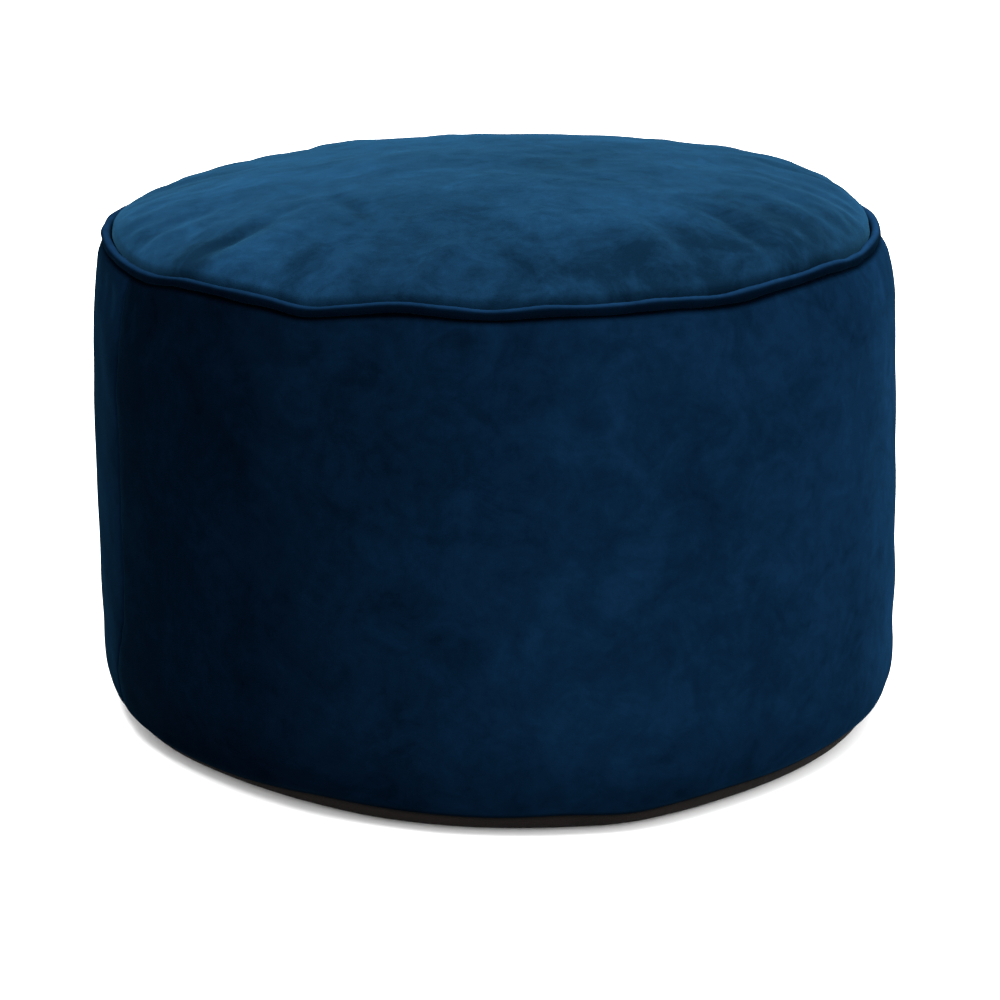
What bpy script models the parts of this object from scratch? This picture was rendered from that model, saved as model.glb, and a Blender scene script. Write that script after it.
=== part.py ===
"""A round bean bag footstool: a drum-shaped cushion of velvet, filled with beads.

It is sewn from a round top, a side strip closed by one upright seam, a piping cord in the rim
seam, and a plain base panel whose edge turns up to the hem just above the floor. The strip and the
beads that it holds are one filled solid. The top and the base are sheets that lie over it.

Units are metres, +Z is up, and the origin is on the floor under the middle of the stool.
An azimuth is in degrees round the stool: 0 is the front (-Y), and 90 is the right side (+X).

Each piece is first turned true, and then settled: a table of how the rim and the hem of the
stuffed stool wander moves every piece alike, so neighbours keep their distance.
"""

import math

import bpy

# Driving dimensions
DIAMETER = 0.502
HEIGHT = 0.348  # top of the true crown above the floor
RIM_RADIUS = 0.235  # the piping's centre line
RIM_HEIGHT = 0.303
PIPING_RADIUS = 0.0035
CLOTH = 0.002  # velvet with its pile, and the woven base
GAP = 0.0007  # between neighbouring pieces
HEM_RADIUS = 0.2372  # where the side strip meets the base panel
HEM_HEIGHT = 0.0124
FLAT_RADIUS = 0.220  # the base panel lies flat on the floor within this

# The side strip's outline above the hem, drawn in from the stool's widest by this much.
BAND = (  # (height, drawn_in)
    (0.0175, 0.0082),
    (0.0270, 0.0042),
    (0.0420, 0.0012),
    (0.0700, 0.0000),
    (0.1100, 0.0002),
    (0.1600, 0.0008),
    (0.2050, 0.0017),
    (0.2440, 0.0029),
    (0.2670, 0.0046),
    (0.2820, 0.0074),
    (0.2930, 0.0105),
)

# How the stuffed stool strays from true. It leans a little, this far along X at each height. The
# table runs past the floor and past the top, so that every height has rows on both sides.
LEAN = (  # (height, along_x)
    (-0.060, 0.0010),
    (0.000, 0.0010),
    (0.060, 0.0010),
    (0.160, 0.0002),
    (0.250, -0.0013),
    (0.278, -0.0018),
    (0.296, -0.0031),
    (0.303, -0.0035),
    (0.352, -0.0035),
    (0.400, -0.0035),
)
# Round the stool, the rim and the hem rise or sag, and the foot reaches out or is drawn in.
WANDER = (  # (azimuth, rim_rise, hem_rise, foot_reach)
    (-180, 0.0000, 0.0000, 0.0000),
    (-150, 0.0014, 0.0008, 0.0006),
    (-120, -0.0008, -0.0006, 0.0015),
    (-95, 0.0008, -0.0016, 0.0030),
    (-78, 0.0006, -0.0026, 0.0010),
    (-66, -0.0024, -0.0034, -0.0020),
    (-57, -0.0032, -0.0040, -0.0050),
    (-47, 0.0003, -0.0042, -0.0084),
    (-38, 0.0000, -0.0030, -0.0086),
    (-32, -0.0012, -0.0014, -0.0074),
    (-26, -0.0036, 0.0004, -0.0054),
    (-19, -0.0006, 0.0006, -0.0030),
    (-12, 0.0019, 0.0002, -0.0012),
    (0, -0.0002, -0.0002, 0.0012),
    (9, 0.0010, 0.0010, 0.0034),
    (18, 0.0006, -0.0006, 0.0056),
    (26, 0.0006, 0.0006, 0.0036),
    (33, -0.0011, 0.0012, 0.0014),
    (44, 0.0018, 0.0006, 0.0002),
    (53, 0.0028, 0.0014, 0.0014),
    (64, 0.0010, 0.0010, 0.0026),
    (78, 0.0016, 0.0000, 0.0028),
    (105, 0.0026, 0.0006, 0.0016),
    (130, 0.0006, 0.0010, 0.0004),
    (155, 0.0016, -0.0008, 0.0008),
)
RIM_FADE = (0.120, 0.220)  # radii between which the crown and the base take up the wander
HEM_FADE = 0.060  # the hem's and the foot's wander die out up to this height
CROWN_TILT = (0.20, -0.15)  # the crown is fuller to the right and to the front

# Degrees round the piping's section, from straight outwards
TOP_MEETS_PIPING = 148
GROOVE = (205, 225, 245, 265, 285)  # where the filled side holds the piping
HEM_TURN = 72  # degrees that the base panel turns up by
HEM_LIP = 0.0006  # the side strip stands this far past the base panel

CROWN_POWER = 0.52  # 0.5 is a half ellipse
SEAM_AZIMUTH = -62  # the side strip's upright seam
SEAM_DEPTH = 0.0014
SEAM_SPREAD = 2.0  # degrees
SEAM_ENDS = (0.030, 0.283)  # heights where the seam's furrow starts and ends
SEAM_RUN_OUT = 0.030

TURN_STEPS = 72  # the first step lies on the upright seam
CROWN_STEPS = 9
CROWN_SPACING = 1.8  # over 1 shortens the steps towards the rim
HEM_STEPS = 3
PIPING_BEVEL = 2  # gives the piping 8 sides
WELD = 0.00001
SHARP_ANGLE = 40  # degrees

VELVET = (0.008, 0.036, 0.085)
BASE_CLOTH = (0.016, 0.012, 0.010)

# WANDER for more than one turn, so that every azimuth has rows on both sides
ROUND = [(row[0] + turn, *row[1:]) for turn in (-360, 0, 360) for row in WANDER]


def clear_scene():
    for old in list(bpy.data.objects):
        bpy.data.objects.remove(old)


def make_material(name, colour, roughness, sheen):
    material = bpy.data.materials.new(name)
    material.use_nodes = True
    shader = material.node_tree.nodes["Principled BSDF"]
    shader.inputs["Base Color"].default_value = (*colour, 1.0)
    shader.inputs["Roughness"].default_value = roughness
    shader.inputs["Metallic"].default_value = 0.0
    shader.inputs["Sheen Weight"].default_value = sheen
    return material


def smooth(share):
    """0 up to 0, 1 from 1 on, with a smooth step between."""
    share = min(max(share, 0.0), 1.0)
    return share * share * (3.0 - 2.0 * share)


def through(rows, at, column):
    """A smooth curve through a column of rows, which are in order of their first column."""
    after = next((i for i in range(2, len(rows) - 1) if rows[i][0] > at), len(rows) - 2)
    (a0, v0), (a1, v1), (a2, v2), (a3, v3) = [(row[0], row[column]) for row in rows[after - 2 : after + 2]]
    slope_in = (v2 - v0) / (a2 - a0) * (a2 - a1)
    slope_out = (v3 - v1) / (a3 - a1) * (a2 - a1)
    t = (at - a1) / (a2 - a1)
    bend = 3.0 * (v2 - v1) - 2.0 * slope_in - slope_out
    twist = 2.0 * (v1 - v2) + slope_in + slope_out
    return v1 + t * (slope_in + t * (bend + t * twist))


def settle(x, y, z):
    """Where a point of the true, turned stool lies once the stool is stuffed and stands."""
    radius = math.hypot(x, y)
    azimuth = math.degrees(math.atan2(x, -y))
    outer = smooth((radius - RIM_FADE[0]) / (RIM_FADE[1] - RIM_FADE[0]))
    at_rim = smooth(z / BAND[-1][0]) * outer
    fade = smooth((HEM_FADE - z) / (HEM_FADE - BAND[0][0]))
    at_hem = min(z / HEM_HEIGHT, 1.0) * fade
    rise = through(ROUND, azimuth, 1) * at_rim + through(ROUND, azimuth, 2) * at_hem
    reach = through(ROUND, azimuth, 3) * fade * outer
    low, high = SEAM_ENDS
    on_seam = smooth((z - low) / SEAM_RUN_OUT) * smooth((high - z) / SEAM_RUN_OUT) * (radius > RIM_RADIUS)
    reach -= SEAM_DEPTH * on_seam * math.exp(-(((azimuth - SEAM_AZIMUTH) / SEAM_SPREAD) ** 2))
    share = (radius + reach) / radius if radius else 1.0
    crown = max(z - round_piping(TOP_MEETS_PIPING)[1], 0.0)
    rise += crown * (CROWN_TILT[0] * x + CROWN_TILT[1] * y) / RIM_RADIUS
    return x * share + through(LEAN, z, 1), y * share, z + rise


def round_piping(angle):
    """A point just outside the piping's section, at an angle in degrees from straight outwards."""
    reach = PIPING_RADIUS + GAP
    angle = math.radians(angle)
    return RIM_RADIUS + reach * math.cos(angle), RIM_HEIGHT + reach * math.sin(angle)


def offset(points, distance):
    """An outline moved to the right of someone who walks along it. Its start may lie on the axis."""
    moved = []
    for index, (radius, height) in enumerate(points):
        before = points[max(index - 1, 0)]
        after = points[min(index + 1, len(points) - 1)]
        run, climb = after[0] - before[0], after[1] - before[1]
        length = math.hypot(run, climb)
        moved.append((radius + distance * climb / length, height - distance * run / length))
    if points[0][0] == 0.0:
        moved[0] = (0.0, moved[0][1])
    return moved


def crown_outline():
    """The top panel's upper face, from the middle out to the piping, in steps that shorten outwards."""
    edge_radius, edge_height = round_piping(TOP_MEETS_PIPING)
    points = []
    for step in range(CROWN_STEPS + 1):
        share = 1.0 - (1.0 - step / CROWN_STEPS) ** CROWN_SPACING
        climb = (HEIGHT - edge_height) * (1.0 - share**2) ** CROWN_POWER
        points.append((edge_radius * share, edge_height + climb))
    return points


def base_outline():
    """The base panel's lower face, from the middle of the floor out and up to the hem."""
    points = [(0.0, 0.0), (FLAT_RADIUS / 2.0, 0.0)]
    full_turn = math.radians(HEM_TURN)
    for step in range(HEM_STEPS + 1):
        turn = full_turn * step / HEM_STEPS
        reach = math.sin(turn) / math.sin(full_turn)
        climb = (1.0 - math.cos(turn)) / (1.0 - math.cos(full_turn))
        points.append((FLAT_RADIUS + (HEM_RADIUS - FLAT_RADIUS) * reach, HEM_HEIGHT * climb))
    return points


def around(radius, azimuth, height):
    turn = math.radians(azimuth)
    return radius * math.sin(turn), -radius * math.cos(turn), height


def turned(name, outline, material, collection):
    """A solid turned about the stool's axis and then settled. Its outline runs down the outer side."""
    profile = bpy.data.meshes.new(name + "_outline")
    points = [around(radius, SEAM_AZIMUTH, height) for radius, height in outline]
    profile.from_pydata(points, [(i, i + 1) for i in range(len(points) - 1)], [])
    lathe = bpy.data.objects.new(name + "_lathe", profile)
    collection.objects.link(lathe)
    screw = lathe.modifiers.new("Turn", "SCREW")
    screw.axis = "Z"
    screw.steps = TURN_STEPS
    screw.render_steps = TURN_STEPS
    screw.use_merge_vertices = True
    screw.merge_threshold = WELD
    mesh = bpy.data.meshes.new_from_object(lathe.evaluated_get(bpy.context.evaluated_depsgraph_get()))
    bpy.data.objects.remove(lathe)
    for vertex in mesh.vertices:
        vertex.co = settle(*vertex.co)
    solid = bpy.data.objects.new(name, mesh)
    collection.objects.link(solid)
    mesh.materials.clear()
    mesh.materials.append(material)
    mesh.shade_smooth()
    mesh.set_sharp_from_angle(angle=math.radians(SHARP_ANGLE))
    return solid


def make_side_band(material, collection):
    """The side strip and its fill: crown under the top panel, groove for the piping, side, and hem."""
    crown = offset(crown_outline(), CLOTH + GAP)
    groove = [round_piping(angle) for angle in GROOVE]
    side = [(DIAMETER / 2.0 - drawn_in, height) for height, drawn_in in reversed(BAND)]
    hem = [(HEM_RADIUS + HEM_LIP, HEM_HEIGHT + GAP)]
    underside = list(reversed(offset(base_outline(), -(CLOTH + GAP))))
    underside[0] = (underside[0][0], HEM_HEIGHT + GAP)
    return turned("filled_side_band", crown + groove + side + hem + underside, material, collection)


def make_top_panel(material, collection):
    outer = crown_outline()
    inner = list(reversed(offset(outer, CLOTH)))
    return turned("top_panel", outer + inner, material, collection)


def make_base_panel(material, collection):
    lower = base_outline()
    upper = offset(lower, -CLOTH)
    upper[-1] = (upper[-1][0], lower[-1][1])
    return turned("base_panel", upper + list(reversed(lower)), material, collection)


def make_piping(material, collection):
    """The cord, as a closed curve along the settled rim."""
    route = bpy.data.curves.new("piping", "CURVE")
    route.dimensions = "3D"
    route.bevel_depth = PIPING_RADIUS
    route.bevel_resolution = PIPING_BEVEL
    line = route.splines.new("POLY")
    line.points.add(TURN_STEPS - 1)
    for step, point in enumerate(line.points):
        azimuth = SEAM_AZIMUTH + 360.0 * step / TURN_STEPS
        point.co = (*settle(*around(RIM_RADIUS, azimuth, RIM_HEIGHT)), 1.0)
    line.use_cyclic_u = True
    line.use_smooth = True
    cord = bpy.data.objects.new("piping", route)
    cord.data.materials.append(material)
    collection.objects.link(cord)
    return cord


def main():
    clear_scene()
    stool = bpy.data.collections.new("bean_bag_footstool")
    bpy.context.scene.collection.children.link(stool)
    velvet = make_material("velvet", VELVET, roughness=0.85, sheen=0.6)
    cord_velvet = make_material("piping_velvet", VELVET, roughness=0.85, sheen=0.6)
    base_cloth = make_material("base_cloth", BASE_CLOTH, roughness=0.9, sheen=0.1)
    make_side_band(velvet, stool)
    make_top_panel(velvet, stool)
    make_base_panel(base_cloth, stool)
    make_piping(cord_velvet, stool)


main()
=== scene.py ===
"""The looks of the bean bag footstool: its stuffed velvet side and top, the piping and the base cloth.

Units are metres. An azimuth is in degrees round the stool: 0 is the front (-Y), 90 the right (+X).
Every piece is laid out as a true, turned shape, takes its puckers and creases along its normal,
and is then settled as the CAD solids are, so that neighbours keep their distance.
"""

import math

import bpy
import numpy as np
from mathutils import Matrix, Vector
from mathutils.bvhtree import BVHTree


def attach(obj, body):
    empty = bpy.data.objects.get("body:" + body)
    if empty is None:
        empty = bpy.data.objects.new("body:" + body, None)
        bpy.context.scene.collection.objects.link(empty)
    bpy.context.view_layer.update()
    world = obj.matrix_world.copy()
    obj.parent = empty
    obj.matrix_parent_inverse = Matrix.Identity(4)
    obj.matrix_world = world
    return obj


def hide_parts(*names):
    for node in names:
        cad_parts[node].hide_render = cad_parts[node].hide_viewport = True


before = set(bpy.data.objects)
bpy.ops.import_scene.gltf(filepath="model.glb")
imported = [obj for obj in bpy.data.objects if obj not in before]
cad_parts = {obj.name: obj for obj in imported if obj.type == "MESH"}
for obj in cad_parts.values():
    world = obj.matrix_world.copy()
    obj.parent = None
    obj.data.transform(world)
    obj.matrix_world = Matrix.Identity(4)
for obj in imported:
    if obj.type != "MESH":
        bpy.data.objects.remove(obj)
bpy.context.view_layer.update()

# ---------------------------------------------------------------- the stool's true shape
RADIUS = 0.251
HEIGHT = 0.348  # top of the true crown above the floor
RIM_RADIUS = 0.235  # the piping's centre line
RIM_HEIGHT = 0.303
PIPING_RADIUS = 0.0030
CLOTH = 0.002
TOP_EDGE = (0.2312, 0.3050)  # (radius, height) where the top runs into the seam beside the piping
CROWN_POWER = 0.52  # 0.5 is a half ellipse
CROWN_SPACING = 1.8  # over 1 draws the top's rings together towards the rim
HEM_HEIGHT = 0.0124
HEM_TURN = 72.0  # degrees that the base cloth turns up by
BASE_EDGE = (0.2372, 0.0121)
FLAT_RADIUS = 0.220

# The side from the seam behind the piping down to the hem, drawn in from the widest.
SIDE = (  # (height, drawn_in)
    (0.3014, 0.0196),
    (0.2994, 0.0168),
    (0.2986, 0.0142),
    (0.2962, 0.0122),
    (0.2930, 0.0105),
    (0.2820, 0.0074),
    (0.2670, 0.0046),
    (0.2440, 0.0029),
    (0.2050, 0.0017),
    (0.1600, 0.0008),
    (0.1100, 0.0002),
    (0.0700, 0.0000),
    (0.0420, 0.0012),
    (0.0270, 0.0042),
    (0.0175, 0.0082),
    (0.0126, 0.0132),
)

# How the stuffed stool strays from true. It leans a little, this far along X at each height.
LEAN = (  # (height, along_x)
    (-0.060, 0.0010),
    (0.000, 0.0010),
    (0.060, 0.0010),
    (0.160, 0.0002),
    (0.250, -0.0013),
    (0.278, -0.0018),
    (0.296, -0.0031),
    (0.303, -0.0035),
    (0.352, -0.0035),
    (0.400, -0.0035),
)
# Round the stool, the rim and the hem rise or sag, and the foot reaches out or is drawn in.
WANDER = (  # (azimuth, rim_rise, hem_rise, foot_reach)
    (-180, 0.0000, 0.0000, 0.0000),
    (-150, 0.0014, 0.0008, 0.0006),
    (-120, -0.0008, -0.0006, 0.0015),
    (-95, 0.0008, -0.0016, 0.0030),
    (-78, 0.0006, -0.0026, 0.0010),
    (-66, -0.0024, -0.0034, -0.0020),
    (-57, -0.0032, -0.0040, -0.0050),
    (-47, 0.0003, -0.0042, -0.0084),
    (-38, 0.0000, -0.0030, -0.0086),
    (-32, -0.0012, -0.0014, -0.0074),
    (-26, -0.0036, 0.0004, -0.0054),
    (-19, -0.0006, 0.0006, -0.0030),
    (-12, 0.0019, 0.0002, -0.0012),
    (0, -0.0002, -0.0002, 0.0012),
    (9, 0.0010, 0.0010, 0.0034),
    (18, 0.0006, -0.0006, 0.0056),
    (26, 0.0006, 0.0006, 0.0036),
    (33, -0.0011, 0.0012, 0.0014),
    (44, 0.0018, 0.0006, 0.0002),
    (53, 0.0028, 0.0014, 0.0014),
    (64, 0.0010, 0.0010, 0.0026),
    (78, 0.0016, 0.0000, 0.0028),
    (105, 0.0026, 0.0006, 0.0016),
    (130, 0.0006, 0.0010, 0.0004),
    (155, 0.0016, -0.0008, 0.0008),
)
RIM_FADE = (0.120, 0.220)  # radii between which the crown and the base take up the wander
RIM_FULL = 0.293  # the rim's wander grows up to this height
HEM_FADE = (0.0175, 0.060)  # heights between which the hem's and the foot's wander die out
CROWN_TILT = (0.20, -0.15)  # the crown is fuller to the right and to the front

SEAM_AZIMUTH = -62  # the side's upright seam
SEAM_PATH = (  # (height, azimuth): it hangs nearly straight, and swings back where the foot draws in
    (0.012, -73.0),
    (0.030, -71.0),
    (0.054, -67.6),
    (0.071, -65.2),
    (0.099, -63.6),
    (0.148, -63.8),
    (0.190, -63.6),
    (0.232, -63.0),
    (0.259, -62.2),
    (0.293, -61.8),
    (0.304, -61.8),
)
SEAM_SWING = 25.0  # degrees round the seam that swing with it
SEAM_DEPTH = 0.0016
SEAM_WIDTH = 0.0011
SEAM_DIP = (0.0004, 0.0060)  # depth and half width of the soft dip that the seam lies in

# ---------------------------------------------------------------- creases placed one by one
# A crease is a soft ridge, or a trough where its height is negative.
TOP_CREASES = (  # (azimuth, radius, half_length, half_width, turn from radial, height)
    (-66, 0.218, 0.026, 0.0100, 8, -0.0008),
    (-60, 0.206, 0.036, 0.0112, 6, 0.0009),
    (-52, 0.210, 0.022, 0.0088, 24, -0.0007),
    (-47, 0.212, 0.034, 0.0090, 18, -0.0022),
    (-41, 0.204, 0.040, 0.0125, 14, 0.0010),
    (-35, 0.214, 0.022, 0.0075, 12, -0.0009),
    (-27, 0.196, 0.046, 0.0187, 0, 0.0012),
    (-18, 0.214, 0.022, 0.0112, -8, -0.0008),
    (-9, 0.204, 0.030, 0.0175, 0, 0.0006),
    (4, 0.214, 0.018, 0.0125, 0, -0.0004),
    (13, 0.204, 0.034, 0.0163, -6, 0.0007),
    (21, 0.214, 0.026, 0.0112, -12, -0.0012),
    (26, 0.206, 0.034, 0.0100, -14, 0.0007),
    (31, 0.216, 0.024, 0.0088, -16, -0.0012),
    (38, 0.204, 0.042, 0.0125, -10, 0.0010),
    (45, 0.213, 0.024, 0.0100, -14, -0.0009),
    (51, 0.206, 0.030, 0.0100, -10, 0.0006),
    (57, 0.212, 0.030, 0.0112, -12, -0.0011),
    (67, 0.212, 0.028, 0.0137, -6, 0.0007),
    (-50, 0.149, 0.010, 0.0280, 40, -0.0008),
    (-37, 0.138, 0.0050, 0.034, 30, -0.0018),
    (70, 0.060, 0.034, 0.0600, 20, -0.0024),
    (100, 0.046, 0.010, 0.0400, 80, -0.0010),
    (40, 0.100, 0.008, 0.0360, 60, -0.0010),
    (96, 0.206, 0.030, 0.0125, 8, -0.0009),
    (118, 0.208, 0.028, 0.0112, -10, -0.0011),
    (126, 0.202, 0.034, 0.0112, -8, 0.0008),
    (158, 0.210, 0.026, 0.0125, 6, -0.0008),
    (-158, 0.208, 0.028, 0.0125, -6, -0.0010),
    (-150, 0.202, 0.034, 0.0125, -4, 0.0008),
    (-118, 0.208, 0.026, 0.0112, 10, -0.0010),
    (-96, 0.206, 0.030, 0.0125, 4, -0.0007),
)
SIDE_CREASES = (  # (azimuth, height, half_length, half_width, turn from upright, height)
    (-43, 0.244, 0.032, 0.0045, 28, -0.0013),
    (-36, 0.216, 0.030, 0.0048, 38, -0.0014),
    (-28, 0.203, 0.034, 0.0045, 66, -0.0012),
    (-18, 0.187, 0.034, 0.0045, 62, -0.0013),
    (-24, 0.285, 0.014, 0.0055, 4, -0.0015),
    (-20, 0.284, 0.016, 0.0050, -6, 0.0009),
    (-15, 0.286, 0.012, 0.0045, 0, -0.0009),
    (-10, 0.285, 0.014, 0.0045, 4, 0.0007),
    (-4, 0.286, 0.012, 0.0045, -4, -0.0008),
    (4, 0.285, 0.016, 0.0050, 6, -0.0008),
    (37, 0.286, 0.012, 0.0045, 0, -0.0009),
    (42, 0.283, 0.018, 0.0050, -8, 0.0009),
    (47, 0.285, 0.014, 0.0045, 4, -0.0010),
    (55, 0.284, 0.016, 0.0050, -4, 0.0009),
    (-53, 0.284, 0.016, 0.0055, -10, -0.0012),
    (12, 0.096, 0.030, 0.0070, 20, -0.0006),
    (34, 0.060, 0.026, 0.0080, -24, -0.0007),
    (-8, 0.120, 0.040, 0.0080, 50, -0.0006),
    (98, 0.284, 0.016, 0.0055, 6, -0.0012),
    (121, 0.282, 0.018, 0.0050, -6, -0.0010),
    (150, 0.240, 0.030, 0.0060, 40, -0.0009),
    (-157, 0.283, 0.018, 0.0055, -4, -0.0012),
    (-120, 0.282, 0.016, 0.0055, 8, -0.0010),
    (-104, 0.180, 0.036, 0.0070, -50, -0.0008),
)
PILLOW_LUMPS = 0.0006  # how far the beads inside lift or leave the cloth
TOP_SWELL = 0.6  # the share of the simulated swelling that the top takes up
SIDE_SWELL = 0.5
TOP_FREE = 0.010  # the cloth moves freely once it is this far from the top's edge
SIDE_FREE_ABOVE = (0.2975, 0.012)  # (height, reach) at which the side is held by the rim's seam
SIDE_FREE_BELOW = 0.016
TOP_TUCK = (0.0024, 0.0012)  # (depth, reach) of the top's edge where it turns down behind the piping
SEAM_END = (0.300, 0.006)  # (height, reach) at which the upright seam runs out under the piping
SEAM_PUCKERS = (0.0002, 0.012)  # (height, half width) of the small tugs along the upright seam
SEAM_PUCKER_TURNS = (330.0, 90.0)  # radians for each metre of height, and of their own slow drift
CORD_LUMPS = (0.050, 0.026)  # (share of its radius, wavelength) by which the piping swells
CORD_DRIFT = (0.00028, 0.040)  # (height, wavelength) by which it rises and falls
CORD_RIPPLE = (0.00006, 240.0)  # (height, waves round the rim) of its fine gathers
SPARE_CLOTH = (  # (azimuth, spread, amount) of loose cloth beside the rim's seam
    (-48, 24, 1.0),
    (42, 30, 1.0),
    (125, 34, 0.7),
    (-140, 40, 0.7),
    (-5, 16, 0.25),
)
SPARE_ON_TOP = 0.060  # how far from the seam the loose cloth reaches
SPARE_ON_SIDE = 0.045

# ---------------------------------------------------------------- how the nap lies, and painted light and shade
# Velvet looks lighter or darker with the way its pile is brushed. These patches on the top shift the mottling
# towards its dark or its light end; some of them are painted shade in the creases' valleys beside the piping.
TOP_BRUSH_AND_SHADE = (  # (azimuth, radius, half_depth, half_width, shift)
    (-56, 0.212, 0.024, 0.012, 0.040),
    (-48, 0.214, 0.022, 0.015, -0.170),
    (-40, 0.208, 0.028, 0.014, 0.045),
    (-33, 0.210, 0.026, 0.012, 0.030),
    (-29, 0.213, 0.018, 0.013, -0.150),
    (-10, 0.212, 0.024, 0.050, -0.030),
    (8, 0.218, 0.016, 0.040, -0.045),
    (24, 0.214, 0.026, 0.034, -0.090),
    (30, 0.212, 0.020, 0.006, 0.080),
    (37, 0.212, 0.026, 0.028, -0.125),
    (47, 0.214, 0.018, 0.006, 0.060),
    (53, 0.212, 0.026, 0.030, -0.120),
    (69, 0.218, 0.014, 0.030, -0.100),
    (19, 0.180, 0.018, 0.040, 0.060),
    (-100, 0.130, 0.080, 0.120, 0.030),
    (150, 0.140, 0.060, 0.120, 0.030),
    (120, 0.208, 0.024, 0.020, -0.080),
    (-154, 0.208, 0.024, 0.022, -0.080),
    (-118, 0.210, 0.024, 0.016, -0.060),
)
SIDE_NAP_AND_LIGHT = (  # (azimuth, shade): how light the side is, round the stool; partly the nap brushed differently each side of the seam, partly painted light that brightens it towards the right and stands in for its sheen there
    (-180, 0.80),
    (-120, 0.55),
    (-90, 0.42),
    (-64, 0.50),
    (-62.4, 0.50),
    (-61.6, 0.22),
    (-50, 0.25),
    (-34, 0.30),
    (-16, 0.66),
    (0, 0.88),
    (16, 1.02),
    (40, 1.12),
    (56, 1.30),
    (70, 2.00),
    (90, 1.90),
    (130, 1.35),
    (180, 0.80),
)
FOOT_PAINTED_SHADE = (0.60, 0.080)  # painted shade under the side's bulge: it darkens to this shade at the hem, from this height down
SEAM_PAINTED_SHADE = 0.30  # painted shadow where the side runs into the seams under the piping and at the hem
TOP_EDGE_PAINTED_SHADE = 0.60  # painted shadow, less deep, round the top's edge beside the piping
CORD_PAINTED_LIGHT_AND_SHADE = (3.20, 0.28)  # painted highlight on the piping's top, and painted shade on its flank that turns into the side's seam
BASE_EDGE_PAINTED_SHADOW = 0.12  # painted shadow of the base cloth along its edge, under the velvet's hem
TOP_PAINTED_SHADE_REACH = 0.0025  # how far in from an edge or a seam its painted shade reaches
SIDE_PAINTED_SHADE_REACH = (0.2995, 0.0130, 0.0030)  # (upper height, lower height, reach) of the side's painted seam shadow
BASE_PAINTED_SHADOW_REACH = 0.0030
CREASE_PAINTED_LIGHT = 40.0  # painted shade in a crease's trough and painted light on its ridge: how far a crease shifts the mottling, for each metre of its height
CORD_HIGHLIGHT_TURN = 100.0  # degrees round the piping's section to the line of its painted highlight
CORD_HIGHLIGHT_FLOOR = 0.30  # the cosine from that line at which the piping's painted highlight ends
CORD_LIGHT_BY_SIDE = (0.70, 0.40, 1.5)  # (least, gain, top): the piping's painted light follows the side's nap and painted light

# ---------------------------------------------------------------- how finely each piece is made
TOP_RINGS = 84
BASE_RINGS = 44
SIDE_COLUMNS = 560
SIDE_ROWS = 116
PIPING_COLUMNS = 720
PIPING_SIDES = 20

HIDDEN_ROWS = 9  # of the side's solid under the top panel, and as many over the base panel
HIDDEN_RADII = (0.004, 0.2250)
BELOW_CROWN = 0.010
ABOVE_FLOOR = 0.0055
SEAM_BAND = 2.5  # degrees each side of the upright seam that have finer columns
SEAM_STEP = 0.125

VOXEL = 0.006
SIM_FRAMES = 20
SKIN_STEPS = 180
RIM_SEWN = (0.005, 0.003)  # (distance, reach) from the piping's centre line within which the skin is held
HEM_SEWN = (0.018, 0.004)  # (height, reach) below which it is held
SWELL_REACH = 0.020
SWELL_CAP = 0.006

# ---------------------------------------------------------------- colours and light
# The top's velvet is the side's, painted lighter: partly its nap lying another way, partly painted light from
# above and painted sheen.
TOP_LIT_COLOUR = (0.0025, 0.0130, 0.0305)
SIDE_COLOUR = (0.0008, 0.0046, 0.0124)
CORD_COLOUR = (0.0008, 0.0040, 0.0105)
BASE_COLOUR = (0.0032, 0.0022, 0.0020)
SHEEN_COLOUR = (0.12, 0.50, 0.90)
FLOOR = (0.95, 0.95, 0.95)
FLOOR_HALF = 30.0
SKY = 2.4
SKY_SLOPE = (1.28, 0.0, 0.0)  # how much brighter the sky is to the right
CAMERA_PLACE = (0.0, -1.698, 0.651)
CAMERA_DOWN = 0.2997  # radians below level
CAMERA_LENS = 100.9
CAMERA_SHIFT = 0.0033


def smooth(share):
    """An even step from 0 to 1 as share goes from 0 to 1."""
    share = np.clip(share, 0.0, 1.0)
    return share * share * (3.0 - 2.0 * share)


def through(xs, ys, at):
    """A smooth curve through the points (xs, ys), read at other x."""
    xs, ys, at = np.asarray(xs, float), np.asarray(ys, float), np.asarray(at, float)
    slopes = np.gradient(ys, xs)
    index = np.clip(np.searchsorted(xs, at, side="right") - 1, 0, len(xs) - 2)
    width = xs[index + 1] - xs[index]
    t = (at - xs[index]) / width
    start, end = ys[index], ys[index + 1]
    slope_in, slope_out = slopes[index] * width, slopes[index + 1] * width
    bend = 3.0 * (end - start) - 2.0 * slope_in - slope_out
    twist = 2.0 * (start - end) + slope_in + slope_out
    return start + t * (slope_in + t * (bend + t * twist))


def wander(azimuth, column):
    """A column of WANDER, read at any azimuth."""
    rows = np.array(WANDER)
    azimuths = np.concatenate([rows[:, 0] + turn for turn in (-360.0, 0.0, 360.0)])
    return through(azimuths, np.tile(rows[:, column], 3), azimuth)


def turn_between(azimuth, other):
    """Degrees from other to azimuth, the short way round."""
    return (azimuth - other + 180.0) % 360.0 - 180.0


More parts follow.
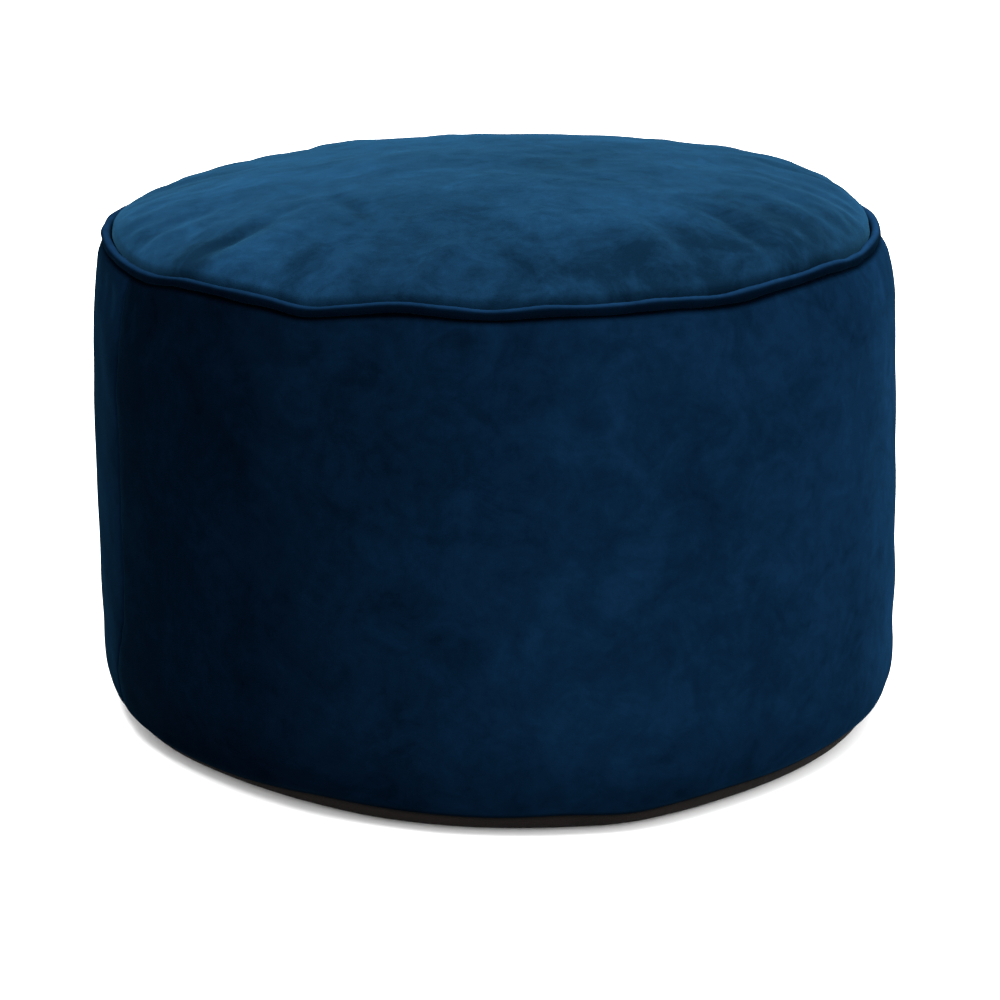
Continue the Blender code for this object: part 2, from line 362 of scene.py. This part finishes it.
def settle(points):
    """Where points of the true, turned stool lie once the stool is stuffed and stands."""
    x, y, z = points.T
    radius = np.hypot(x, y)
    azimuth = np.degrees(np.arctan2(x, -y))
    outer = smooth((radius - RIM_FADE[0]) / (RIM_FADE[1] - RIM_FADE[0]))
    low = smooth((HEM_FADE[1] - z) / (HEM_FADE[1] - HEM_FADE[0]))
    rise = wander(azimuth, 1) * smooth(z / RIM_FULL) * outer
    rise += wander(azimuth, 2) * np.clip(z / HEM_HEIGHT, 0.0, 1.0) * low
    rise += np.maximum(z - TOP_EDGE[1], 0.0) * (CROWN_TILT[0] * x + CROWN_TILT[1] * y) / RIM_RADIUS
    share = 1.0 + wander(azimuth, 3) * low * outer / np.maximum(radius, RIM_FADE[0])
    heights, lean = np.array(LEAN).T
    return np.stack([x * share + through(heights, lean, z), y * share, z + rise], 1)


def around(radius, azimuth, height):
    """Points at these radii, azimuths and heights."""
    turn = np.radians(azimuth)
    return np.stack(np.broadcast_arrays(radius * np.sin(turn), -radius * np.cos(turn), height), -1)


def crown_radius(share):
    """Radii from the middle to the rim as share goes from 0 to 1, closer together by the rim."""
    return TOP_EDGE[0] * (1.0 - (1.0 - share) ** CROWN_SPACING)


def crown_height(radius):
    share = np.clip(radius / TOP_EDGE[0], 0.0, 1.0)
    return TOP_EDGE[1] + (HEIGHT - TOP_EDGE[1]) * (1.0 - share**2) ** CROWN_POWER


def side_outline(count):
    """Points (radius, height) down the side, closer together under the piping and by the hem."""
    rows = np.array(SIDE)
    radii, heights = RADIUS - rows[:, 1], rows[:, 0]
    along = np.concatenate([[0.0], np.cumsum(np.hypot(np.diff(radii), np.diff(heights)))])
    share = np.linspace(0.0, 1.0, count)
    at = (share - 0.07 * np.sin(2.0 * math.pi * share)) * along[-1]
    return through(along, radii, at), through(along, heights, at)


def normals_of(points, faces):
    """Area-weighted vertex normals of a mesh of quads."""
    corners = np.array(faces)
    a, b, c, d = (points[corners[:, corner]] for corner in range(4))
    face_normals = np.cross(c - a, d - b)
    total = np.zeros_like(points)
    for corner in range(4):
        np.add.at(total, corners[:, corner], face_normals)
    return total / np.maximum(np.linalg.norm(total, axis=1, keepdims=True), 1e-12)


def lumps(points, wavelength, seed, waves=28):
    """A smooth random field of about unit height: many plane waves of nearly one wavelength."""
    chance = np.random.default_rng(seed)
    field = np.zeros(len(points))
    for _ in range(waves):
        direction = chance.normal(size=3)
        direction *= 2.0 * math.pi / (wavelength * chance.uniform(0.7, 1.5)) / np.linalg.norm(direction)
        field += np.cos(points @ direction + chance.uniform(0.0, 2.0 * math.pi))
    return field / math.sqrt(waves / 2.0)


def mesh_object(name, points, faces, material):
    mesh = bpy.data.meshes.new(name)
    mesh.from_pydata(points.tolist(), [], faces)
    mesh.materials.append(material)
    mesh.shade_smooth()
    made = bpy.data.objects.new(name, mesh)
    bpy.context.scene.collection.objects.link(made)
    return made


def store(made, name, values):
    attribute = made.data.attributes.new(name, "FLOAT", "POINT")
    attribute.data.foreach_set("value", np.asarray(values, np.float32))


# ---------------------------------------------------------------- the stuffed skin, simulated


def loose_cloth(azimuth, radius, height):
    """How much spare cloth there is, from 0 to 1: most beside the rim seam, and uneven round it."""
    from_rim = np.hypot(radius - RIM_RADIUS, height - RIM_HEIGHT)
    patches = np.zeros(len(azimuth))
    for centre, spread, amount in SPARE_CLOTH:
        patches += amount * np.exp(-((turn_between(azimuth, centre) / spread) ** 2))
    on_top = np.exp(-((from_rim / SPARE_ON_TOP) ** 2)) * np.clip(patches, 0.0, 1.0)
    on_side = 0.55 * np.exp(-((from_rim / SPARE_ON_SIDE) ** 2)) * np.clip(patches + 0.25, 0.0, 1.0)
    return np.where((radius < RIM_RADIUS) & (height > RIM_HEIGHT - 0.01), on_top, on_side)


def stuffed_skin():
    """A closed skin of the whole stool, sewn down at the rim and the hem, and swollen by its fill."""
    radii = crown_radius(np.linspace(0.0, 1.0, 24))
    side_radii, side_heights = side_outline(40)
    outline = list(zip(radii, crown_height(radii)))
    outline += [(r, z) for r, z in zip(side_radii, side_heights) if z < RIM_HEIGHT - PIPING_RADIUS]
    outline += [(FLAT_RADIUS, 0.0), (FLAT_RADIUS / 2.0, 0.0), (0.0, 0.0)]
    profile = bpy.data.meshes.new("skin_outline")
    profile.from_pydata([(r, 0.0, z) for r, z in outline], [(i, i + 1) for i in range(len(outline) - 1)], [])
    lathe = bpy.data.objects.new("skin_lathe", profile)
    bpy.context.scene.collection.objects.link(lathe)
    screw = lathe.modifiers.new("Turn", "SCREW")
    screw.axis = "Z"
    screw.steps = screw.render_steps = SKIN_STEPS
    screw.use_merge_vertices = True
    screw.merge_threshold = 0.00001
    remesh = lathe.modifiers.new("Even", "REMESH")
    remesh.mode = "VOXEL"
    remesh.voxel_size = VOXEL
    mesh = bpy.data.meshes.new_from_object(lathe.evaluated_get(bpy.context.evaluated_depsgraph_get()))
    bpy.data.objects.remove(lathe)
    skin = bpy.data.objects.new("skin", mesh)
    bpy.context.scene.collection.objects.link(skin)

    points = np.array([vertex.co for vertex in mesh.vertices])
    radius, height = np.hypot(points[:, 0], points[:, 1]), points[:, 2]
    azimuth = np.degrees(np.arctan2(points[:, 0], -points[:, 1]))
    from_rim = np.hypot(radius - RIM_RADIUS, height - RIM_HEIGHT)
    by_rim = 1.0 - (from_rim - RIM_SEWN[0]) / RIM_SEWN[1]
    by_hem = (HEM_SEWN[0] - height) / HEM_SEWN[1]
    sewn = np.clip(np.maximum(by_rim, by_hem), 0.0, 1.0)
    taut = 1.0 - loose_cloth(azimuth, radius, height)
    sewn_group = skin.vertex_groups.new(name="sewn")
    taut_group = skin.vertex_groups.new(name="taut")
    for index in range(len(points)):
        sewn_group.add([index], float(sewn[index]), "REPLACE")
        taut_group.add([index], float(taut[index]), "REPLACE")

    cloth = skin.modifiers.new("Cloth", "CLOTH")
    settings = cloth.settings
    settings.quality = 5
    settings.mass = 0.003
    settings.tension_stiffness = 15.0
    settings.compression_stiffness = 15.0
    settings.shear_stiffness = 5.0
    settings.bending_stiffness = 0.5
    settings.use_pressure = True
    settings.uniform_pressure_force = 4.0
    settings.effector_weights.gravity = 0.0
    settings.vertex_group_mass = "sewn"
    settings.vertex_group_shrink = "taut"
    settings.shrink_min = -0.05
    settings.shrink_max = 0.0
    for number in range(1, SIM_FRAMES + 1):
        bpy.context.scene.frame_set(number)
    smoother = skin.modifiers.new("Finer", "SUBSURF")
    smoother.levels = smoother.render_levels = 1
    tree = BVHTree.FromObject(skin, bpy.context.evaluated_depsgraph_get())
    bpy.data.objects.remove(skin)
    bpy.context.scene.frame_set(1)
    return tree


def swelling(points, normals, rings):
    """How far the stuffed skin stands outside these points, less each ring's own average."""
    if SKIN is None:
        return np.zeros(len(points))
    rise = np.zeros(len(points))
    for index, (point, normal) in enumerate(zip(points, normals)):
        outside = Vector(point + normal * SWELL_REACH)
        _, _, _, distance = SKIN.ray_cast(outside, Vector(-normal), 2.0 * SWELL_REACH)
        if distance is not None:
            rise[index] = SWELL_REACH - distance
    average = np.bincount(rings, rise) / np.bincount(rings)
    return np.clip(rise - average[rings], -SWELL_CAP, SWELL_CAP)


# ---------------------------------------------------------------- grids


def disc_grid(rings):
    """The ring and azimuth of each point of a disc with 8k points in ring k, its quads, and its edge."""
    ring, azimuth, index = [], [], {}
    for row in range(-rings, rings + 1):
        for column in range(-rings, rings + 1):
            index[row, column] = len(ring)
            k = max(abs(row), abs(column))
            ring.append(k)
            if k == 0:
                azimuth.append(0.0)
            elif abs(column) == k:
                azimuth.append(math.copysign(90.0, column) - 45.0 * row / column)
            else:
                azimuth.append(45.0 * column / k if row > 0 else 180.0 - 45.0 * column / k)
    steps = range(-rings, rings)
    faces = [
        (index[row, column], index[row, column + 1], index[row + 1, column + 1], index[row + 1, column])
        for row in steps
        for column in steps
    ]
    edge = [index[-rings, step] for step in steps] + [index[step, rings] for step in steps]
    edge += [index[rings, -step] for step in steps] + [index[-step, -rings] for step in steps]
    return np.array(ring), np.array(azimuth), faces, edge


def band_faces(rows, columns):
    """Quads of a grid of rows that close round the stool."""
    faces = []
    for row in range(rows - 1):
        for column in range(columns):
            after = (column + 1) % columns
            a, b = row * columns + column, row * columns + after
            faces.append((a, b, b + columns, a + columns))
    return faces


def facing(points, faces, edge, up):
    """The disc's faces and edge, turned so that the faces look up, or down."""
    if (normals_of(points, faces)[:, 2].mean() > 0.0) != up:
        return [face[::-1] for face in faces], edge[::-1]
    return faces, edge


def sheet_of_cloth(name, outer, faces, edge, material):
    """A closed sheet: its outer face, its inner face a cloth's thickness behind, and its cut edge."""
    inner = outer - normals_of(outer, faces) * CLOTH
    count = len(outer)
    both = list(faces) + [tuple(corner + count for corner in face[::-1]) for face in faces]
    both += [(b, a, a + count, b + count) for a, b in zip(edge, edge[1:] + edge[:1])]
    return mesh_object(name, np.concatenate([outer, inner]), both, material)


def creases(rows, azimuth, along, scale):
    """Soft ridges and troughs. along is the radius or the height, and scale is the radius there."""
    rise = np.zeros(len(azimuth))
    for centre, place, half_length, half_width, turn, amount in rows:
        across = np.radians(turn_between(azimuth, centre)) * scale
        up = along - place
        lean = math.radians(turn)
        side_step = across * math.cos(lean) + up * math.sin(lean)
        lengthwise = -across * math.sin(lean) + up * math.cos(lean)
        rise += amount * np.exp(-((side_step / half_width) ** 2) - (lengthwise / half_length) ** 2)
    return rise


# ---------------------------------------------------------------- the pieces


def make_top(material):
    ring, azimuth, faces, edge = disc_grid(TOP_RINGS)
    radius = crown_radius(ring / TOP_RINGS)
    outer = around(radius, azimuth, crown_height(radius))
    faces, edge = facing(outer, faces, edge, up=True)
    normals = normals_of(outer, faces)
    from_edge = TOP_EDGE[0] - radius
    free = smooth(from_edge / TOP_FREE)
    creased = creases(TOP_CREASES, azimuth, radius, np.maximum(radius, 0.02))
    rise = creased + PILLOW_LUMPS * (lumps(outer, 0.10, seed=3) + 0.35 * lumps(outer, 0.035, seed=4))
    rise += TOP_SWELL * swelling(outer, normals, ring)
    outer = outer + normals * (rise * free)[:, None]
    outer[:, 2] -= TOP_TUCK[0] * (1.0 - smooth(from_edge / TOP_TUCK[1]))
    top = sheet_of_cloth("velvet_top", settle(outer), faces, edge, material)

    # Painted shade in the creases' troughs and painted light on their ridges, with the nap's patches and
    # their painted shade.
    brush_and_painted_shade = CREASE_PAINTED_LIGHT * creased
    for centre, place, half_depth, half_width, shift in TOP_BRUSH_AND_SHADE:
        across = np.radians(turn_between(azimuth, centre)) * radius / half_width
        brush_and_painted_shade += shift * np.exp(-(across**2) - ((radius - place) / half_depth) ** 2)
    store(top, "brush_and_painted_shade", np.tile(brush_and_painted_shade, 2))
    # Painted shadow round the top's edge beside the piping.
    inside = smooth(from_edge / TOP_PAINTED_SHADE_REACH)
    store(top, "tone_and_painted_light", np.tile(TOP_EDGE_PAINTED_SHADE + (1.0 - TOP_EDGE_PAINTED_SHADE) * inside, 2))
    return top


def side_nap_and_light(azimuth):
    rows = np.array(SIDE_NAP_AND_LIGHT)
    return np.interp(azimuth, rows[:, 0], rows[:, 1])


def side_azimuths():
    """The side's columns: evenly spaced, and finer beside the upright seam."""
    even = np.linspace(-180.0, 180.0, SIDE_COLUMNS, endpoint=False)
    apart = np.abs(turn_between(even, SEAM_AZIMUTH)) >= SEAM_BAND + 0.1
    fine = np.arange(SEAM_AZIMUTH - SEAM_BAND, SEAM_AZIMUTH + SEAM_BAND + 0.01, SEAM_STEP)
    return np.sort(np.concatenate([even[apart], fine]))


def make_side(material):
    azimuths = side_azimuths()
    columns = len(azimuths)
    radii, heights = side_outline(SIDE_ROWS)
    strip_azimuth = np.tile(azimuths, SIDE_ROWS)
    radius, height = np.repeat(radii, columns), np.repeat(heights, columns)
    path_heights, path_azimuths = np.array(SEAM_PATH).T
    swing = through(path_heights, path_azimuths, height) - SEAM_AZIMUTH
    from_seam = turn_between(strip_azimuth, SEAM_AZIMUTH)
    azimuth = strip_azimuth + swing * np.exp(-((from_seam / SEAM_SWING) ** 2))
    skin = around(radius, azimuth, height)
    normals = -normals_of(skin, band_faces(SIDE_ROWS, columns))

    free = smooth((SIDE_FREE_ABOVE[0] - height) / SIDE_FREE_ABOVE[1])
    free *= smooth((height - SIDE[-1][0]) / SIDE_FREE_BELOW)
    creased = creases(SIDE_CREASES, azimuth, height, radius)
    rise = creased + PILLOW_LUMPS * (lumps(skin, 0.13, seed=7) + 0.4 * lumps(skin, 0.045, seed=8))
    rise += SIDE_SWELL * swelling(skin, normals, np.repeat(np.arange(SIDE_ROWS), columns))
    from_seam = np.abs(np.radians(from_seam) * RADIUS)
    furrow = -SEAM_DEPTH * np.exp(-((from_seam / SEAM_WIDTH) ** 1.4))
    furrow -= SEAM_DIP[0] * np.exp(-((from_seam / SEAM_DIP[1]) ** 2))
    waves = np.sin(height * SEAM_PUCKER_TURNS[0] + 2.0 * np.sin(height * SEAM_PUCKER_TURNS[1]))
    tugs = np.exp(-((from_seam / SEAM_PUCKERS[1]) ** 2)) * waves
    rise = (rise + SEAM_PUCKERS[0] * tugs) * free + furrow * smooth((SEAM_END[0] - height) / SEAM_END[1])
    skin = skin + normals * rise[:, None]

    # Out of sight, the solid goes on under the top panel and over the base panel.
    hidden = np.repeat(np.linspace(*HIDDEN_RADII, HIDDEN_ROWS), columns)
    crown = around(hidden, np.tile(azimuths, HIDDEN_ROWS), crown_height(hidden) - BELOW_CROWN)
    hidden = np.repeat(np.linspace(*HIDDEN_RADII, HIDDEN_ROWS)[::-1], columns)
    floor = around(hidden, np.tile(azimuths, HIDDEN_ROWS), ABOVE_FLOOR)
    points = np.concatenate([settle(crown), settle(skin), settle(floor)])
    count = SIDE_ROWS + 2 * HIDDEN_ROWS
    faces = [face[::-1] for face in band_faces(count, columns)]
    faces.append(tuple(range(columns)))
    faces.append(tuple(reversed(range((count - 1) * columns, count * columns))))
    side = mesh_object("velvet_side", points, faces, material)

    # Painted shadow under the piping's seam and at the hem, and painted shade towards the foot.
    upper, lower, reach = SIDE_PAINTED_SHADE_REACH
    between = smooth((upper - height) / reach) * smooth((height - lower) / reach)
    shade = SEAM_PAINTED_SHADE + (1.0 - SEAM_PAINTED_SHADE) * between
    shade *= FOOT_PAINTED_SHADE[0] + (1.0 - FOOT_PAINTED_SHADE[0]) * smooth(height / FOOT_PAINTED_SHADE[1])
    seen = slice(HIDDEN_ROWS * columns, (HIDDEN_ROWS + SIDE_ROWS) * columns)
    # The side's nap with painted light, lighter towards the right.
    tone_and_painted_light = side_nap_and_light(np.tile(azimuths, count))
    tone_and_painted_light[seen] *= shade
    store(side, "tone_and_painted_light", tone_and_painted_light)
    # Painted shade in the side's crease troughs and painted light on their ridges.
    brush_and_painted_shade = np.zeros(len(points))
    brush_and_painted_shade[seen] = CREASE_PAINTED_LIGHT * creased
    store(side, "brush_and_painted_shade", brush_and_painted_shade)
    return side


def make_piping(material):
    azimuths = np.linspace(-180.0, 180.0, PIPING_COLUMNS, endpoint=False)
    turns = np.linspace(0.0, 2.0 * math.pi, PIPING_SIDES, endpoint=False)
    azimuth = np.repeat(azimuths, PIPING_SIDES)
    turn = np.tile(turns, PIPING_COLUMNS)
    line = around(RIM_RADIUS, azimuth, RIM_HEIGHT)
    ripple = CORD_RIPPLE[0] * np.sin(np.radians(azimuth) * CORD_RIPPLE[1] + turn)
    thickness = PIPING_RADIUS * (1.0 + CORD_LUMPS[0] * lumps(line, CORD_LUMPS[1], seed=11)) + ripple
    drift = CORD_DRIFT[0] * lumps(line, CORD_DRIFT[1], seed=12)
    outward = around(1.0, azimuth, 0.0)
    points = line + outward * (thickness * np.cos(turn))[:, None]
    points[:, 2] += thickness * np.sin(turn) + drift
    grid = np.arange(len(points)).reshape(PIPING_COLUMNS, PIPING_SIDES)
    after, up = np.roll(grid, -1, axis=0), np.roll(grid, -1, axis=1)
    faces = np.stack([grid, after, np.roll(after, -1, axis=1), up], -1).reshape(-1, 4).tolist()
    piping = mesh_object("velvet_piping", settle(points), faces, material)
    # Painted highlight along the piping's top and painted shade on its flank, lighter where the side is.
    towards = np.cos(turn - math.radians(CORD_HIGHLIGHT_TURN))
    lit = smooth((towards - CORD_HIGHLIGHT_FLOOR) / (1.0 - CORD_HIGHLIGHT_FLOOR))
    least, gain, top = CORD_LIGHT_BY_SIDE
    beside = least + gain * np.minimum(side_nap_and_light(azimuth), top)
    store(piping, "tone_and_painted_light", beside * (CORD_PAINTED_LIGHT_AND_SHADE[1] + (CORD_PAINTED_LIGHT_AND_SHADE[0] - CORD_PAINTED_LIGHT_AND_SHADE[1]) * lit))
    return piping


def make_base(material):
    """The base cloth, flat on the floor and turned up in an arc at its edge."""
    ring, azimuth, faces, edge = disc_grid(BASE_RINGS)
    full_turn = math.radians(HEM_TURN)
    turn = np.linspace(0.0, full_turn, 7)
    reach = np.sin(turn) / math.sin(full_turn)
    climb = (1.0 - np.cos(turn)) / (1.0 - math.cos(full_turn))
    radii = np.concatenate([[0.0], FLAT_RADIUS + (BASE_EDGE[0] - FLAT_RADIUS) * reach])
    heights = np.concatenate([[0.0], BASE_EDGE[1] * climb])
    along = np.concatenate([[0.0], np.cumsum(np.hypot(np.diff(radii), np.diff(heights)))])
    at = along[-1] * (1.0 - (1.0 - ring / BASE_RINGS) ** 1.5)
    lower = around(np.interp(at, along, radii), azimuth, np.interp(at, along, heights))
    faces, edge = facing(lower, faces, edge, up=False)
    base = sheet_of_cloth("base_cloth_panel", settle(lower), faces, edge, material)
    # Painted shadow along the base cloth's edge.
    inside = smooth((along[-1] - at) / BASE_PAINTED_SHADOW_REACH)
    store(base, "tone_and_painted_light", np.tile(BASE_EDGE_PAINTED_SHADOW + (1.0 - BASE_EDGE_PAINTED_SHADOW) * inside, 2))
    return base


# ---------------------------------------------------------------- materials


class Surface:
    """A material's node tree, with short ways to add the nodes that these cloths share."""

    def __init__(self, name, roughness):
        self.material = bpy.data.materials.new(name)
        self.material.use_nodes = True
        self.nodes = self.material.node_tree.nodes
        self.links = self.material.node_tree.links
        self.shader = self.nodes["Principled BSDF"]
        self.shader.inputs["Roughness"].default_value = roughness
        self.place = self.nodes.new("ShaderNodeTexCoord").outputs["Object"]

    def noise(self, scale, detail, distortion=0.0, roughness=0.5):
        node = self.nodes.new("ShaderNodeTexNoise")
        node.inputs["Scale"].default_value = scale
        node.inputs["Detail"].default_value = detail
        node.inputs["Roughness"].default_value = roughness
        node.inputs["Distortion"].default_value = distortion
        self.links.new(self.place, node.inputs["Vector"])
        return node.outputs["Fac"]

    def threads(self, direction, scale):
        node = self.nodes.new("ShaderNodeTexWave")
        node.bands_direction = direction
        node.inputs["Scale"].default_value = scale
        node.inputs["Distortion"].default_value = 0.6
        node.inputs["Detail"].default_value = 1.0
        self.links.new(self.place, node.inputs["Vector"])
        return node.outputs["Fac"]

    def math(self, operation, first, second):
        node = self.nodes.new("ShaderNodeMath")
        node.operation = operation
        for socket, value in zip(node.inputs, (first, second)):
            if isinstance(value, float):
                socket.default_value = value
            else:
                self.links.new(value, socket)
        return node.outputs[0]

    def blend(self, *parts):
        """The sum of (output, weight) pairs."""
        total = self.math("MULTIPLY", *parts[0])
        for output, weight in parts[1:]:
            total = self.math("ADD", total, self.math("MULTIPLY", output, weight))
        return total

    def ramp(self, factor, *stops):
        node = self.nodes.new("ShaderNodeValToRGB")
        elements = node.color_ramp.elements
        while len(elements) < len(stops):
            elements.new(0.5)
        for element, (position, colour) in zip(elements, sorted(stops)):
            element.position = position
            element.color = (*colour, 1.0)
        self.links.new(factor, node.inputs[0])
        return node.outputs[0]

    def times(self, first, second):
        node = self.nodes.new("ShaderNodeMix")
        node.data_type = "RGBA"
        node.blend_type = "MULTIPLY"
        node.inputs["Factor"].default_value = 1.0
        self.links.new(first, node.inputs[6])
        self.links.new(second, node.inputs[7])
        return node.outputs[2]

    def attribute(self, name):
        node = self.nodes.new("ShaderNodeAttribute")
        node.attribute_name = name
        return node.outputs["Fac"]

    def bump(self, height, strength, distance):
        node = self.nodes.new("ShaderNodeBump")
        node.inputs["Strength"].default_value = strength
        node.inputs["Distance"].default_value = distance
        self.links.new(height, node.inputs["Height"])
        self.links.new(node.outputs[0], self.shader.inputs["Normal"])


def shaded(colour, shade):
    return tuple(min(value * shade, 1.0) for value in colour)


def velvet(name, colour, contrast, sheen, sheen_roughness):
    """Short-pile velvet: patches where the nap is brushed one way or the other, and a rim of sheen. Its
    colour also takes the pieces' painted light and shade.
    """
    cloth = Surface(name, roughness=0.9)
    cloth.shader.inputs["Specular IOR Level"].default_value = 0.0
    cloth.shader.inputs["Sheen Weight"].default_value = sheen
    cloth.shader.inputs["Sheen Roughness"].default_value = sheen_roughness
    cloth.shader.inputs["Sheen Tint"].default_value = (*SHEEN_COLOUR, 1.0)
    broad = cloth.noise(9.0, 3.0, distortion=0.6)
    patch = cloth.noise(30.0, 6.0, distortion=1.1, roughness=0.65)
    fleck = cloth.noise(130.0, 4.0, distortion=0.4, roughness=0.6)
    pile = cloth.noise(1500.0, 2.0)
    brushed = cloth.blend((broad, 0.30), (patch, 0.42), (fleck, 0.20), (pile, 0.08))
    tone = cloth.ramp(
        cloth.math("ADD", brushed, cloth.attribute("brush_and_painted_shade")),
        (0.36, shaded(colour, 1.0 - 1.4 * contrast)),
        (0.46, shaded(colour, 1.0 - 0.4 * contrast)),
        (0.54, shaded(colour, 1.0 + 0.4 * contrast)),
        (0.64, shaded(colour, 1.0 + 1.6 * contrast)),
    )
    cloth.links.new(cloth.times(tone, cloth.attribute("tone_and_painted_light")), cloth.shader.inputs["Base Color"])
    cloth.bump(cloth.blend((pile, 1.0), (fleck, 1.5)), strength=0.3, distance=0.0005)
    return cloth.material


def woven(name, colour):
    """Plain-woven cloth with worn patches, and painted shadow along the base cloth's edge."""
    cloth = Surface(name, roughness=0.9)
    cloth.shader.inputs["Specular IOR Level"].default_value = 0.05
    weave = cloth.math("MAXIMUM", cloth.threads("X", 320.0), cloth.threads("Y", 320.0))
    worn = cloth.noise(26.0, 4.0, distortion=0.4)
    tone = cloth.blend((weave, 0.5), (worn, 1.0))
    stops = (0.45, shaded(colour, 0.55)), (1.0, shaded(colour, 1.35))
    shade = cloth.times(cloth.ramp(tone, *stops), cloth.attribute("tone_and_painted_light"))
    cloth.links.new(shade, cloth.shader.inputs["Base Color"])
    cloth.bump(weave, strength=0.5, distance=0.0004)
    return cloth.material


# ---------------------------------------------------------------- stage, light and camera


def add_floor():
    corners = [(x * FLOOR_HALF, y * FLOOR_HALF, 0) for x, y in ((-1, -1), (1, -1), (1, 1), (-1, 1))]
    mesh = bpy.data.meshes.new("floor")
    mesh.from_pydata(corners, [], [(0, 1, 2, 3)])
    white = Surface("floor_white", roughness=1.0)
    white.shader.inputs["Base Color"].default_value = (*FLOOR, 1.0)
    white.shader.inputs["Specular IOR Level"].default_value = 0.0
    mesh.materials.append(white.material)
    floor = bpy.data.objects.new("floor", mesh)
    bpy.context.scene.collection.objects.link(floor)


def add_sky():
    """A plain white studio, brighter to the right than to the left."""
    world = bpy.data.worlds.new("studio")
    world.use_nodes = True
    nodes, links = world.node_tree.nodes, world.node_tree.links
    direction = nodes.new("ShaderNodeTexCoord").outputs["Generated"]
    along = nodes.new("ShaderNodeVectorMath")
    along.operation = "DOT_PRODUCT"
    along.inputs[1].default_value = SKY_SLOPE
    strength = nodes.new("ShaderNodeMath")
    strength.operation = "ADD"
    strength.inputs[1].default_value = SKY
    links.new(direction, along.inputs[0])
    links.new(along.outputs["Value"], strength.inputs[0])
    links.new(strength.outputs[0], nodes["Background"].inputs["Strength"])
    nodes["Background"].inputs["Color"].default_value = (1.0, 1.0, 1.0, 1.0)
    bpy.context.scene.world = world


def add_sun(name, azimuth, elevation, strength, spread):
    """A broad soft light that shines from this azimuth and elevation."""
    data = bpy.data.lights.new(name, "SUN")
    data.energy = strength
    data.angle = math.radians(spread)
    light = bpy.data.objects.new(name, data)
    towards = Vector(around(1.0, azimuth, math.tan(math.radians(elevation))))
    light.rotation_euler = towards.to_track_quat("Z", "Y").to_euler()
    bpy.context.scene.collection.objects.link(light)


def add_camera():
    data = bpy.data.cameras.new("camera")
    data.sensor_width = 36.0
    data.lens = CAMERA_LENS
    data.shift_x = CAMERA_SHIFT
    data.clip_end = 100.0
    camera = bpy.data.objects.new("camera", data)
    camera.location = CAMERA_PLACE
    camera.rotation_euler = (math.pi / 2.0 - CAMERA_DOWN, 0.0, 0.0)
    bpy.context.scene.collection.objects.link(camera)
    bpy.context.scene.camera = camera


def main():
    bpy.context.scene.view_settings.view_transform = "Standard"
    add_floor()
    add_sky()
    add_sun("overhead", azimuth=-12, elevation=74, strength=4.8, spread=30)
    add_camera()

    top = make_top(velvet("top_velvet_painted_light", TOP_LIT_COLOUR, contrast=0.37, sheen=0.095, sheen_roughness=0.35))
    side = make_side(velvet("side_velvet", SIDE_COLOUR, contrast=0.30, sheen=0.014, sheen_roughness=0.28))
    piping = make_piping(velvet("cord_velvet", CORD_COLOUR, contrast=0.20, sheen=0.012, sheen_roughness=0.30))
    base = make_base(woven("base_weave", BASE_COLOUR))
    for piece, node, slot in (
        (top, "top_panel", "velvet"),
        (side, "filled_side_band", "velvet"),
        (piping, "piping", "piping_velvet"),
        (base, "base_panel", "base_cloth"),
    ):
        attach(piece, "root")
        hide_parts(node)


SKIN = stuffed_skin()
main()
